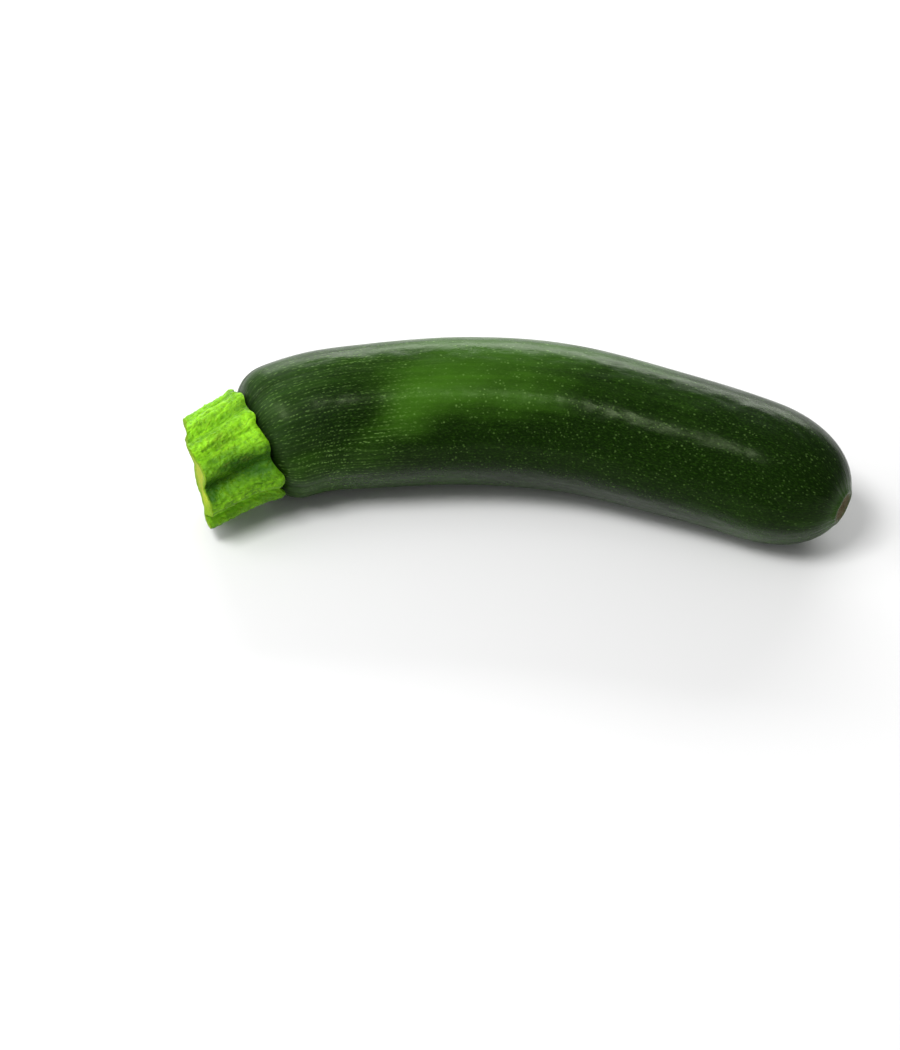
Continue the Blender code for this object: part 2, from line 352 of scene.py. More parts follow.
class FruitSettings(bpy.types.PropertyGroup):
    """Sizes and colours of the fruit."""

    divisions: IntProperty(
        name="Divisions", description="Faces round the fruit", default=320, min=16)
    rings: IntProperty(name="Rings", description="Faces from end to end", default=280, min=16)
    dent_depth: FloatProperty(
        name="Dent Depth", description="How deep the soft dents of the growing fruit are",
        default=0.00035, min=0.0, unit="LENGTH")
    dent_size: FloatProperty(
        name="Dent Size", description="About how far apart the soft dents are",
        default=0.032, min=0.001, unit="LENGTH")
    skin_dark: FloatVectorProperty(
        name="Dark Skin", description="Deep green of the skin", subtype="COLOR",
        default=(0.0028, 0.0112, 0.0006), min=0.0, max=1.0)
    skin_light: FloatVectorProperty(
        name="Light Skin", description="Brighter green where the sun reached it less",
        subtype="COLOR", default=(0.040, 0.122, 0.007), min=0.0, max=1.0)
    fleck: FloatVectorProperty(
        name="Flecks", description="Pale flecks in the skin", subtype="COLOR",
        default=(0.15, 0.28, 0.065), min=0.0, max=1.0)
    bloom: FloatVectorProperty(
        name="Bloom", description="Bluish waxy film on the shoulder by the stem", subtype="COLOR",
        default=(0.034, 0.054, 0.030), min=0.0, max=1.0)
    shine: FloatVectorProperty(
        name="Shine", description="Tint of the light that the waxy skin mirrors", subtype="COLOR",
        default=(0.78, 1.0, 0.55), min=0.0, max=1.0)
    scar: FloatVectorProperty(
        name="Blossom Scar", description="Dry skin where the blossom fell off", subtype="COLOR",
        default=(0.16, 0.12, 0.06), min=0.0, max=1.0)


class StemSettings(bpy.types.PropertyGroup):
    """Sizes and colours of the stem."""

    divisions: IntProperty(
        name="Divisions", description="Faces round the stem", default=480, min=16)
    rings: IntProperty(
        name="Rings", description="Faces from the cut to the fruit", default=200, min=16)
    fibre_height: FloatProperty(
        name="Fibre Height", description="How far the long fibres stand out",
        default=0.00014, min=0.0, unit="LENGTH")
    grain_height: FloatProperty(
        name="Grain Height", description="How rough the skin between the fibres is",
        default=0.00100, min=0.0, unit="LENGTH")
    crest: FloatVectorProperty(
        name="Crests", description="Bright green of the ribs", subtype="COLOR",
        default=(0.29, 0.70, 0.014), min=0.0, max=1.0)
    valley: FloatVectorProperty(
        name="Valleys", description="Deeper green between the ribs", subtype="COLOR",
        default=(0.025, 0.108, 0.001), min=0.0, max=1.0)
    dry: FloatVectorProperty(
        name="Dry Streaks", description="Brownish streaks of drying skin", subtype="COLOR",
        default=(0.20, 0.17, 0.020), min=0.0, max=1.0)
    cut_middle: FloatVectorProperty(
        name="Cut Middle", description="Pale flesh in the middle of the cut", subtype="COLOR",
        default=(0.44, 0.50, 0.04), min=0.0, max=1.0)
    cut_rim: FloatVectorProperty(
        name="Cut Rim", description="Greener flesh under the skin of the cut", subtype="COLOR",
        default=(0.19, 0.35, 0.012), min=0.0, max=1.0)


class StageSettings(bpy.types.PropertyGroup):
    """The floor, the lights and the camera."""

    floor: FloatVectorProperty(
        name="Floor", description="Colour of the floor", subtype="COLOR",
        default=(0.76, 0.76, 0.76), min=0.0, max=1.0)
    camera_distance: FloatProperty(
        name="Camera Distance", description="From the camera to the middle of the fruit",
        default=0.756, min=0.1, unit="LENGTH")
    camera_azimuth: FloatProperty(
        name="Camera Azimuth", description="How far the camera stands to the right of the front",
        default=math.radians(6.0), unit="ROTATION")
    camera_elevation: FloatProperty(
        name="Camera Elevation", description="How high the camera stands above the floor",
        default=math.radians(40.0), unit="ROTATION")
    lens: FloatProperty(
        name="Lens", description="Focal length in mm", default=85.0, min=10.0)
    sky: FloatProperty(
        name="Sky", description="Strength of the even light from all round", default=0.30, min=0.0)


class Pattern(NamedTuple):
    """How a pattern lies on a piece: how fine it is across the line and along it, per mm."""

    across: float
    along: float
    start: tuple = (0.0, 0.0, 0.0)
    detail: float = 2.0
    roughness: float = 0.5


class Bench:
    """A material's nodes, added and joined one by one."""

    def __init__(self, name):
        self.material = bpy.data.materials.new(name)
        self.material.use_nodes = True
        self.tree = self.material.node_tree
        self.shader = self.tree.nodes["Principled BSDF"]

    def join(self, socket, value):
        """Feed a socket from another node, or set it to a number or colour."""
        if isinstance(value, bpy.types.NodeSocket):
            self.tree.links.new(value, socket)
        else:
            socket.default_value = value

    def add(self, kind, inputs, output=0, **settings):
        """Add a node, feed its inputs by name or number, and return one of its outputs."""
        node = self.tree.nodes.new(kind)
        for key, value in settings.items():
            setattr(node, key, value)
        for key, value in inputs.items():
            self.join(node.inputs[key], value)
        return node.outputs[output]

    def number(self, name):
        """Return a number that is stored over the surface."""
        return self.add("ShaderNodeAttribute", {}, "Fac", attribute_name=name)

    def place(self, name):
        """Return a place that is stored over the surface."""
        return self.add("ShaderNodeAttribute", {}, "Vector", attribute_name=name)

    def parts(self, place):
        """Return the three numbers of a place."""
        node = self.tree.nodes.new("ShaderNodeSeparateXYZ")
        self.join(node.inputs[0], place)
        return node.outputs

    def math(self, operation, *values):
        """Return the result of an operation on numbers."""
        return self.add("ShaderNodeMath", dict(enumerate(values)), operation=operation)

    def chain(self, operation, first, *others):
        """Return the result of an operation that takes in one number after another."""
        for other in others:
            first = self.math(operation, first, other)
        return first

    def total(self, *values):
        """Return the sum of numbers."""
        return self.chain("ADD", *values)

    def product(self, *values):
        """Return the product of numbers."""
        return self.chain("MULTIPLY", *values)

    def largest(self, *values):
        """Return the largest of numbers."""
        return self.chain("MAXIMUM", *values)

    def laid(self, place, pattern):
        """Return a place stretched and moved as a pattern asks."""
        scale = (pattern.across, pattern.across, pattern.along)
        inputs = {"Vector": place, "Scale": scale, "Location": pattern.start}
        return self.add("ShaderNodeMapping", inputs)

    def noise(self, place, pattern):
        """Return noise from 0 to 1."""
        inputs = {"Vector": self.laid(place, pattern), "Scale": 1.0,
                  "Detail": pattern.detail, "Roughness": pattern.roughness}
        return self.add("ShaderNodeTexNoise", inputs)

    def cells(self, place, pattern):
        """Return the distance to the nearest scattered point."""
        inputs = {"Vector": self.laid(place, pattern), "Scale": 1.0}
        return self.add("ShaderNodeTexVoronoi", inputs)

    def ramp(self, value, low, high, start=0.0, end=1.0):
        """Return a smooth change from start to end as a value goes from low to high."""
        inputs = {"Value": value, "From Min": low, "From Max": high, "To Min": start, "To Max": end}
        return self.add("ShaderNodeMapRange", inputs, interpolation_type="SMOOTHSTEP")

    def mix(self, share, first, second):
        """Return a colour between two."""
        node = self.tree.nodes.new("ShaderNodeMix")
        node.data_type = "RGBA"
        self.join(node.inputs["Factor"], share)
        for key, value in (("A", first), ("B", second)):
            socket = next(s for s in node.inputs if s.name == key and s.type == "RGBA")
            self.join(socket, value)
        return next(s for s in node.outputs if s.type == "RGBA")

    def bump(self, height, distance, strength, normal=None):
        """Return the normal of a relief, with its height in metres."""
        inputs = {"Height": height, "Distance": distance, "Strength": strength}
        if normal is not None:
            inputs["Normal"] = normal
        return self.add("ShaderNodeBump", inputs)

    def finish(self, **inputs):
        """Feed the shader's inputs, by names with underscores, and return the material."""
        for key, value in inputs.items():
            self.join(self.shader.inputs[key.replace("_", " ")], value)
        return self.material


def opaque(colour, share=1.0):
    """Return a share of a colour, with its alpha."""
    return (*(share * part for part in colour), 1.0)


# In the values below, a change is two ends of what it follows and what it gives at those ends.
# One that is named from the stem follows the mm along the fruit. One of two numbers gives 0 and 1.

# The green of the skin
MOTTLE = Pattern(0.05, 0.035, detail=4.0, roughness=0.6)
MOTTLE_CHANGE = (0.3, 0.75, 0.07, 0.50)
STREAKS = Pattern(0.55, 0.03, start=(3.0, 1.0, 2.0))
STREAK_CHANGE = (0.3, 0.75, -0.06, 0.14)
SHOULDER_FROM_STEM = (10.0, 50.0, -0.25, 0.0)
GREEN_RANGE = (-0.4, 1.2)
GRAINS = Pattern(2.2, 1.0, roughness=0.7)
GRAIN_CHANGE = (0.45, 0.75, 0.0, 0.22)

# The rows that the flecks stand in
ROWS = 104                  # round the fruit
ROW_SWAY = Pattern(0.22, 0.04)
ROW_SWAY_CHANGE = (0.0, 1.0, -1.0, 1.0)
ROW_EDGE = (0.10, 0.34)     # shares of the way to the next row
ROWS_LOOSEN_FROM_STEM = (30.0, 95.0, 0.05, 0.8)

# Flecks that are scattered spots: their pattern, where a spot starts to fade and where it ends,
# how strong it is, and how that changes from the stem
FLECKS = (
    (Pattern(1.9, 0.75, start=(4.0, 7.0, 1.0)), (0.16, 0.48), 1.0, (30.0, 65.0, 0.85, 0.08)),
    (Pattern(0.46, 0.40, start=(9.0, 2.0, 5.0)), (0.05, 0.21), 0.8, (12.0, 50.0, 0.3, 1.0)),
    (Pattern(0.80, 0.62, start=(3.0, 8.0, 2.0)), (0.08, 0.26), 0.6, (30.0, 70.0, 0.0, 1.0)),
)
THREADS = Pattern(1.3, 0.12, start=(6.0, 1.0, 9.0), detail=3.0, roughness=0.7)
THREAD_CHANGE = (0.42, 0.72, 0.0, 0.22)
THREADS_FROM_STEM = (20.0, 70.0, 1.0, 0.15)
FLECK_STRENGTH = Pattern(0.11, 0.05, start=(8.0, 3.0, 0.0))
FLECK_STRENGTH_CHANGE = (0.3, 0.7, 0.5, 1.0)
# Flecks fade where the patches darken the green, in their painted shade too
FLECKS_BY_TINT_AND_PAINTED_LIGHT = (-0.45, 0.05, 0.5, 1.0)

# The painted shade along the edge by the stem, under its toes, and the waxy film on the upper
# side of the shoulder
PAINTED_SHADE_FROM_STEM = (1.0, 8.0, 0.7, 0.0)
FILM_FROM_STEM = (6.0, 42.0, 0.3, 0.0)
FILM_BY_HEIGHT = (2.0, 18.0)
SCUFFS = Pattern(1.3, 0.07, start=(2.0, 9.0, 6.0), detail=3.0, roughness=0.7)
SCUFF_CHANGE = (0.35, 0.70, 0.3, 1.0)

# The blossom's scar, by the mm from its middle
SCAR_EDGE = Pattern(0.5, 0.5, detail=3.0)
SCAR_EDGE_CHANGE = (0.0, 1.0, -1.6, 1.6)
SCAR_HALO = (5.0, 11.0, 0.4, 0.0)
SCAR_REACH = (3.6, 5.6, 0.9, 0.0)
SCAR_CRACKS = (0.38, 0.62)
SCAR_CRACK_SHARE = 0.35     # of the scar's colour
SCAR_ROUGHNESS = 0.8
# Painted shade in the furrows by the stem: the green darkens towards the dark skin there
FURROW_PAINTED_SHADE = (0.0, 1.0, 0.0, 0.6)

# The shine and the fine relief of the skin
GLOSS = Pattern(0.25, 0.12, detail=3.0)
GLOSS_CHANGE = (0.3, 0.7, 0.20, 0.28)
DULL_FROM_STEM = (6.0, 34.0, 0.12, 0.0)
WAX = Pattern(1.3, 0.7, detail=3.0, roughness=0.6)
WAVES = Pattern(0.22, 0.13, start=(1.0, 6.0, 3.0), detail=1.0)
PORE_SHARE = 0.5
WAVE_BUMP = (0.0006, 0.5)   # m high, and how strong
WAX_BUMP = (0.00006, 0.6)
SKIN_SPECULAR = 0.10

# Patches of the skin: mm from the stem end, angle, size in mm, and how much lighter the green is
# there, or darker where the number is below 0. The darker ones low on the front, at 0 to 28
# degrees, are painted shade; the darker ones on the upper shoulder, at 22 and 36 mm, are a painted
# reflection of something dark; the lighter ones at 23 to 84 degrees are partly the skin's own
# uneven green and partly a painted soft highlight
SKIN_PATCHES_AND_PAINTED_LIGHT = (
    (51.0, 46.0, 9.0, 0.52),
    (46.0, 34.0, 7.0, 0.28),
    (61.0, 60.0, 8.0, 0.40),
    (72.0, 54.0, 9.0, 0.40),
    (86.0, 52.0, 8.0, 0.35),
    (98.0, 52.0, 7.0, 0.25),
    (38.0, 23.0, 6.0, 0.35),
    (36.0, 52.0, 10.0, -0.50),
    (62.0, 15.0, 12.0, -0.35),
    (61.0, 36.0, 9.0, 0.16),
    (20.0, 8.0, 12.0, 0.15),
    (22.0, 62.0, 14.0, -0.25),
    (76.0, 84.0, 16.0, 0.40),
    (92.0, 10.0, 24.0, -0.50),
    (124.0, 28.0, 22.0, -0.35),
    (165.0, 50.0, 30.0, -0.45),
    (168.0, 92.0, 36.0, -0.40),
    (30.0, 20.0, 14.0, -0.20),
    (48.0, 2.0, 15.0, -0.30),
    (74.0, 8.0, 18.0, -0.40),
    (104.0, 0.0, 22.0, -0.40),
    (135.0, 2.0, 22.0, -0.30),
)


def patch_tint_and_painted_light(place):
    """Return how much lighter or darker the skin is at places on it, painted shade and highlight
    included.
    """
    tint_and_painted_light = np.zeros(len(place))
    for s, angle, size, change in SKIN_PATCHES_AND_PAINTED_LIGHT:
        middle = around_line(FRUIT_RADIUS, np.array((s,)), np.array((angle,)))
        away = np.linalg.norm(place - middle, axis=1) / size
        tint_and_painted_light += change * np.exp(-away ** 2)
    return tint_and_painted_light


def skin_green(bench, look, place, s, tint_and_painted_light):
    """Return the green under the flecks, with its mottling, its streaks and its patches, painted
    light included.
    """
    light = bench.total(
        bench.ramp(bench.noise(place, MOTTLE), *MOTTLE_CHANGE), tint_and_painted_light,
        bench.ramp(bench.noise(place, STREAKS), *STREAK_CHANGE),
        bench.ramp(s, *SHOULDER_FROM_STEM))
    share = bench.ramp(light, *GREEN_RANGE)
    return bench.mix(share, opaque(look.skin_dark), opaque(look.skin_light))


def fleck_rows(bench, place):
    """Return 1 in the rows that run from the stem, and less between them."""
    x, y, s = bench.parts(place)
    sway = bench.ramp(bench.noise(place, ROW_SWAY), *ROW_SWAY_CHANGE)
    row = bench.product(bench.math("ARCTAN2", y, x), ROWS / (2 * math.pi))
    off_row = bench.math("ABSOLUTE", bench.math("WRAP", bench.total(row, sway), 0.5, -0.5))
    return bench.ramp(off_row, *ROW_EDGE, 1.0, bench.ramp(s, *ROWS_LOOSEN_FROM_STEM))


def skin_flecks(bench, place, s, tint_and_painted_light):
    """Return how strong the pale flecks are: dashes near the stem, and dots and specks beyond."""
    threads = bench.ramp(bench.noise(place, THREADS), *THREAD_CHANGE)
    kinds = [bench.product(threads, bench.ramp(s, *THREADS_FROM_STEM))]
    for pattern, reach, strength, from_stem in FLECKS:
        spots = bench.ramp(bench.cells(place, pattern), *reach, strength, 0.0)
        kinds.append(bench.product(spots, bench.ramp(s, *from_stem)))
    # The flecks fade where the patches darken the green, painted shade included
    strength = bench.product(
        bench.ramp(bench.noise(place, FLECK_STRENGTH), *FLECK_STRENGTH_CHANGE),
        bench.ramp(tint_and_painted_light, *FLECKS_BY_TINT_AND_PAINTED_LIGHT))
    return bench.product(bench.largest(*kinds), fleck_rows(bench, place), strength)


def shoulder_film(bench, place):
    """Return how thick the scuffed film of wax on the shoulder is."""
    _, y, s = bench.parts(place)
    scuffs = bench.ramp(bench.noise(place, SCUFFS), *SCUFF_CHANGE)
    return bench.product(bench.ramp(s, *FILM_FROM_STEM), bench.ramp(y, *FILM_BY_HEIGHT), scuffs)


def skin_relief(bench, place, flecks):
    """Return the normal of the skin, with its soft waves, its wax and the pores at the flecks."""
    waves = bench.bump(bench.noise(place, WAVES), *WAVE_BUMP)
    raised = bench.total(bench.noise(place, WAX), bench.product(flecks, PORE_SHARE))
    return bench.bump(raised, *WAX_BUMP, waves)


def skin_material(look):
    """Return the fruit's skin: deep green, with pale dashes near the stem and dots beyond."""
    bench = Bench("zucchini_skin")
    place = bench.place("skin_place")
    s = bench.parts(place)[2]
    tint_and_painted_light = bench.number("tint_and_painted_light")
    dark, light = opaque(look.skin_dark), opaque(look.skin_light)

    flecks = skin_flecks(bench, place, s, tint_and_painted_light)
    grains = bench.noise(place, GRAINS)
    skin = skin_green(bench, look, place, s, tint_and_painted_light)
    skin = bench.mix(bench.ramp(grains, *GRAIN_CHANGE), skin, light)
    skin = bench.mix(flecks, skin, opaque(look.fleck))
    # Painted shade along the edge by the stem, under its toes
    skin = bench.mix(bench.ramp(s, *PAINTED_SHADE_FROM_STEM), skin, dark)
    skin = bench.mix(shoulder_film(bench, place), skin, opaque(look.bloom))

    edge = bench.ramp(bench.noise(place, SCAR_EDGE), *SCAR_EDGE_CHANGE)
    off_scar = bench.total(bench.number("off_axis"), edge)
    scar = bench.ramp(off_scar, *SCAR_REACH)
    cracks = bench.ramp(grains, *SCAR_CRACKS)
    dried = bench.mix(cracks, opaque(look.scar, SCAR_CRACK_SHARE), opaque(look.scar))
    skin = bench.mix(bench.ramp(off_scar, *SCAR_HALO), skin, light)
    skin = bench.mix(scar, skin, dried)
    # Painted shade in the furrows by the stem
    skin = bench.mix(bench.ramp(bench.number("furrow_painted_shade"), *FURROW_PAINTED_SHADE), skin, dark)

    gloss = bench.ramp(bench.noise(place, GLOSS), *GLOSS_CHANGE)
    roughness = bench.largest(
        bench.total(gloss, bench.ramp(s, *DULL_FROM_STEM)), bench.product(scar, SCAR_ROUGHNESS))
    return bench.finish(
        Base_Color=skin, Roughness=roughness, Normal=skin_relief(bench, place, flecks),
        Specular_IOR_Level=SKIN_SPECULAR, Specular_Tint=opaque(look.shine))


# The green of the stem, first how deep it is at angles round it, from 0 on the palest ribs to 1:
# deeper in the valleys as the stem's own green, and painted shade on the lower ribs near -77 and
# -33 degrees
STEM_TONES_AND_SHADE = (
    (-77.0, 0.30), (-55.0, 1.0), (-33.0, 0.60), (-14.0, 0.05), (0.0, 0.40), (16.0, 1.0),
    (32.0, 0.90), (46.0, 0.45), (66.0, 0.0), (84.0, 0.35), (100.0, 0.0), (124.0, 0.50),
    (145.0, 0.25), (167.0, 0.85), (190.0, 0.35), (213.0, 1.0), (237.0, 0.35), (260.0, 0.95),
)
FIBRES = Pattern(1.0, 0.13, detail=3.0, roughness=0.6)
FIBRE_CHANGE = (0.50, 0.72, 0.0, 0.22)
GRAIN = Pattern(0.9, 0.7, start=(5.0, 2.0, 7.0), detail=4.0, roughness=0.7)
# Painted shade in the pits, where the grain's relief is low
PAINTED_SHADE_IN_PITS = (0.36, 0.52, 0.45, 0.0)
BLOTCHES = Pattern(0.16, 0.10, start=(2.0, 8.0, 4.0))
BLOTCH_CHANGE = (0.35, 0.70, -0.15, 0.30)
# Painted shade in the hollows, where the stem's strands and lumps sink in
HOLLOW_SHADE_CHANGE = (0.35, 0.85, 0.0, 0.50)
LIT_BY_DEPTH = (0.0, 1.0, 1.0, 0.3)
PALE_SHARE = 0.6            # of the crests' green; the rest is the colour of the flesh
BEADS = Pattern(1.25, 1.0, start=(3.0, 5.0, 8.0))
BEAD_CHANGE = (0.10, 0.55, 0.55, 0.0)
BEADS_BY_GRAIN = (0.35, 0.65)
DRY_BY_BLOTCH = (0.56, 0.72)
DRY_BY_FIBRE = (0.45, 0.7, 0.0, 0.5)

# The flesh of the cut, by the share of the way out to its rim
RIM_UNEVEN = (0.0, 1.0, -0.10, 0.10)
RIM_REACH = (0.45, 0.97)
WET = Pattern(0.7, 0.7, detail=4.0)
WET_CHANGE = (0.35, 0.65, 0.0, 0.35)
CUT_EDGE = (0.0, 0.02, 1.0, 0.0)
CUT_ROUGHNESS = 0.8

# The shine and the fine relief of the stem
STEM_GLOSS = (0.3, 0.7, 0.34, 0.50)
FIBRE_SHARE = 0.6
STEM_BUMP = (0.00045, 0.9)  # m high, and how strong
STEM_SPECULAR = 0.13


def stem_green(bench, look, fibres, grain, beads, blotches):
    """Return the green of the stem's skin, deeper with painted shade in its hollows and pits, paler
    on fibres and beads.
    """
    crest, valley = opaque(look.crest), opaque(look.valley)
    pale = [PALE_SHARE * green + (1 - PALE_SHARE) * flesh
            for green, flesh in zip(look.crest, look.cut_middle)]
    # The stored tone carries the painted shade of the lower ribs
    depth = bench.total(bench.number("tone_and_painted_shade"), bench.ramp(blotches, *BLOTCH_CHANGE))
    lit = bench.ramp(depth, *LIT_BY_DEPTH)
    green = bench.mix(depth, crest, valley)
    # Painted shade in the hollows where the strands and lumps sink in
    green = bench.mix(bench.ramp(bench.number("hollow_depth_and_shade"), *HOLLOW_SHADE_CHANGE), green, valley)
    strands = bench.product(bench.ramp(fibres, *FIBRE_CHANGE), lit)
    green = bench.mix(strands, green, opaque(pale))
    # Painted shade in the pits of the grain
    green = bench.mix(bench.ramp(grain, *PAINTED_SHADE_IN_PITS), green, valley)
    green = bench.mix(bench.product(beads, lit), green, opaque(pale))
    dry = bench.product(bench.ramp(blotches, *DRY_BY_BLOTCH), bench.ramp(fibres, *DRY_BY_FIBRE))
    return bench.mix(dry, green, opaque(look.dry))


def cut_flesh(bench, look, place, grain):
    """Return the colour of the cut: pale in the middle, greener and uneven towards the rim."""
    rim = bench.total(bench.number("across_cut"), bench.ramp(grain, *RIM_UNEVEN))
    flesh = bench.mix(bench.ramp(rim, *RIM_REACH), opaque(look.cut_middle), opaque(look.cut_rim))
    wet = bench.ramp(bench.noise(place, WET), *WET_CHANGE)
    return bench.mix(wet, flesh, opaque(look.cut_rim))


def stem_material(look):
    """Return the stem's skin and its cut: bright fibrous green, with pale flesh on the cut."""
    bench = Bench("zucchini_stem")
    place = bench.place("stem_place")
    fibres = bench.noise(place, FIBRES)
    grain = bench.noise(place, GRAIN)
    beads = bench.product(
        bench.ramp(bench.cells(place, BEADS), *BEAD_CHANGE), bench.ramp(grain, *BEADS_BY_GRAIN))
    green = stem_green(bench, look, fibres, grain, beads, bench.noise(place, BLOTCHES))
    cut = bench.ramp(bench.number("share"), *CUT_EDGE)
    colour = bench.mix(cut, green, cut_flesh(bench, look, place, grain))
    roughness = bench.largest(bench.ramp(grain, *STEM_GLOSS), bench.product(cut, CUT_ROUGHNESS))
    raised = bench.total(grain, bench.product(fibres, FIBRE_SHARE), beads)
    return bench.finish(
        Base_Color=colour, Roughness=roughness, Normal=bench.bump(raised, *STEM_BUMP),
        Specular_IOR_Level=STEM_SPECULAR)


def rolled_sheet(name, divisions, rings, surface):
    """Add a sheet, roll it up over a surface from the stem's side to the other, and close it."""
    bpy.ops.object.select_all(action="DESELECT")
    bpy.ops.mesh.primitive_grid_add(x_subdivisions=divisions, y_subdivisions=rings, size=2.0)
    piece = bpy.context.object
    piece.name = name
    piece.data.name = name
    sheet = np.zeros(len(piece.data.vertices) * 3)
    piece.data.vertices.foreach_get("co", sheet)
    sheet = sheet.reshape(-1, 3)
    angle = np.where(sheet[:, 0] > 1.0 - SEAM, -180.0, 180.0 * sheet[:, 0])
    points, places = surface((1.0 - sheet[:, 1]) / 2, angle)
    piece.data.vertices.foreach_set("co", ((points + SHIFT) * MM).ravel())
    for key, values in places.items():
        kind, field = ("FLOAT_VECTOR", "vector") if values.ndim > 1 else ("FLOAT", "value")
        stored = piece.data.attributes.new(key, kind, "POINT")
        stored.data.foreach_set(field, values.astype(np.float32).ravel())
    piece.data.update()
    bpy.ops.object.mode_set(mode="EDIT")
    bpy.ops.mesh.select_all(action="SELECT")
    bpy.ops.mesh.remove_doubles(threshold=SEAM)
    bpy.ops.object.mode_set(mode="OBJECT")
    return piece


def dress(piece, node, material):
    """Give a finished piece its material and let it stand for its solid."""
    piece.data.materials.clear()
    piece.data.materials.append(material)
    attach(piece, BODY)
    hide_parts(node)


# The relief of the skins. A noise is its size in mm and its seed
DENT_SEED = 1
SMALL_DENTS = (3, 2)        # how many times finer than the dents, and the seed
SMALL_DENT_SHARE = 0.12
STRANDS = (1.2, 3)
STRAND_DRAWN = (1.0, 1.0, 0.13)
STRAND_GAIN = 2
LUMPS = (                   # share, noise, and how far the lumps are drawn out along the stem
    (0.7, (5.0, 9), (1.0, 1.0, 0.6)),
    (0.5, (2.2, 4), (1.0, 1.0, 0.6)),
    (0.7, (1.1, 5), (1.0, 1.0, 1.0)),
    (0.3, (0.6, 8), (1.0, 1.0, 1.0)),
)
HOLLOW_SHADE_SHARES = (0.3, 0.7)    # of the strands and of the lumps in the painted shade of the hollows
FLESH_BUMPS = (1.4, 6)
FLESH_BUMP_HEIGHT = 0.10    # mm, on either side of the middle
FRAY = (2.6, 7)
FRAY_DEPTH = 0.6            # mm, on either side of the middle
CREASE = 50.0               # degrees between faces that look creased


def stem_relief(place):
    """Return how deep the strands and the lumps of the stem's skin sink in, from 0 to 1."""
    strands = np.clip(np.abs(noise_at(place * STRAND_DRAWN, *STRANDS) * STRAND_GAIN), 0.0, 1.0)
    lumps = sum(share * noise_at(place * drawn, *waves) for share, waves, drawn in LUMPS)
    return strands, np.clip(0.5 - 0.5 * lumps, 0.0, 1.0)


def stem_cut(across_cut, share, flesh, angle):
    """Return where along the line the cut lies, with its hollow, its bumps and its round rim."""
    cut = -STEM_LENGTH + SKIN_INSET - cut_reach(across_cut, angle)
    cut = cut + CUT_DISH * (1 - across_cut ** 2)
    cut = cut + FLESH_BUMP_HEIGHT * (1 + noise_at(flesh, *FLESH_BUMPS)) * (share <= 0)
    edge = np.clip((across_cut - EDGE_FROM) / (1 - EDGE_FROM), 0.0, 1.0)
    return cut + EDGE_ROUND * (1 - np.sqrt(1 - edge ** 2))


def stem_toes(radius, across_face, angle):
    """Return where along the line the frayed toes end, just short of the fruit."""
    toe_radius = crest_radius(np.ones_like(radius), angle) - TOE_OVERHANG
    toes = fruit_face(np.minimum(radius, toe_radius), angle) - GAP
    frayed = noise_at(around_line(STEM_RADIUS, np.zeros_like(radius), angle), *FRAY)
    return toes - FRAY_DEPTH * (1 + frayed) * across_face


def fruit_dents(place, size, depth):
    """Return how far in the soft dents lie, for places in mm on the fruit."""
    finer, seed = SMALL_DENTS
    soft = depth * (0.5 + 0.5 * noise_at(place, size, DENT_SEED))
    small = depth * SMALL_DENT_SHARE * (0.5 + 0.5 * noise_at(place, size / finer, seed))
    return -SKIN_INSET - soft - small


class ZUCCHINI_OT_fruit(bpy.types.Operator):
    """Add the bent fruit with its soft ridges, dents and blossom scar"""

    bl_idname = "zucchini.fruit"
    bl_label = "Fruit"

    def execute(self, context):
        look = context.scene.zucchini_fruit

        def dents(s, angle):
            place = around_line(FRUIT_RADIUS, s, angle)
            return fruit_dents(place, look.dent_size / MM, look.dent_depth / MM)

        def surface(t, angle):
            points, s, radius = fruit_surface(t, angle, dents)
            place = around_line(FRUIT_RADIUS, s, angle)
            return points, {
                "skin_place": place,
                "off_axis": np.where(s > LINE.fruit_length / 2, radius, FRUIT_RADIUS),
                "tint_and_painted_light": patch_tint_and_painted_light(place),
                "furrow_painted_shade": furrow_share(s, angle)}

        piece = rolled_sheet("zucchini_fruit", look.divisions, look.rings, surface)
        bpy.ops.object.shade_smooth()
        dress(piece, "fruit", skin_material(look))
        return {"FINISHED"}


class ZUCCHINI_OT_stem(bpy.types.Operator):
    """Add the stub of the stem with its ribs, fibres, toes and slanted cut"""

    bl_idname = "zucchini.stem"
    bl_label = "Stem"

    def execute(self, context):
        look = context.scene.zucchini_stem

        def surface(t, angle):
            share = np.clip((t - CUT_RINGS) / (TOE_RINGS - CUT_RINGS), 0.0, 1.0)
            across_cut = np.clip(t / CUT_RINGS, 0.0, 1.0)
            across_face = np.clip((1 - t) / (1 - TOE_RINGS), 0.0, 1.0)
            place = around_line(STEM_RADIUS, share * STEM_LENGTH, angle)
            strands, hollow_depth_and_shade = stem_relief(place)
            wear = -look.fibre_height / MM * strands - look.grain_height / MM * hollow_depth_and_shade
            side = crest_radius(share, angle) - SKIN_INSET + wear
            radius = side * across_cut * across_face
            flesh = around_line(STEM_RADIUS * across_cut, np.zeros_like(t), angle)
            cut = stem_cut(across_cut, share, flesh, angle)
            toes = stem_toes(radius, across_face, angle)
            return LINE.place(cut + (toes - cut) * share, radius, angle), {
                "stem_place": np.where((share <= 0)[:, None], flesh, place),
                "share": share,
                "across_cut": across_cut,
                # Tone round the stem, with the painted shade of the lower ribs
                "tone_and_painted_shade": curve_round(angle, STEM_TONES_AND_SHADE),
                # How deep the skin sinks in, stored for the painted shade of the hollows
                "hollow_depth_and_shade": HOLLOW_SHADE_SHARES[0] * strands + HOLLOW_SHADE_SHARES[1] * hollow_depth_and_shade}

        piece = rolled_sheet("zucchini_stem", look.divisions, look.rings, surface)
        bpy.ops.object.shade_smooth_by_angle(angle=math.radians(CREASE))
        dress(piece, "stem", stem_material(look))
        return {"FINISHED"}


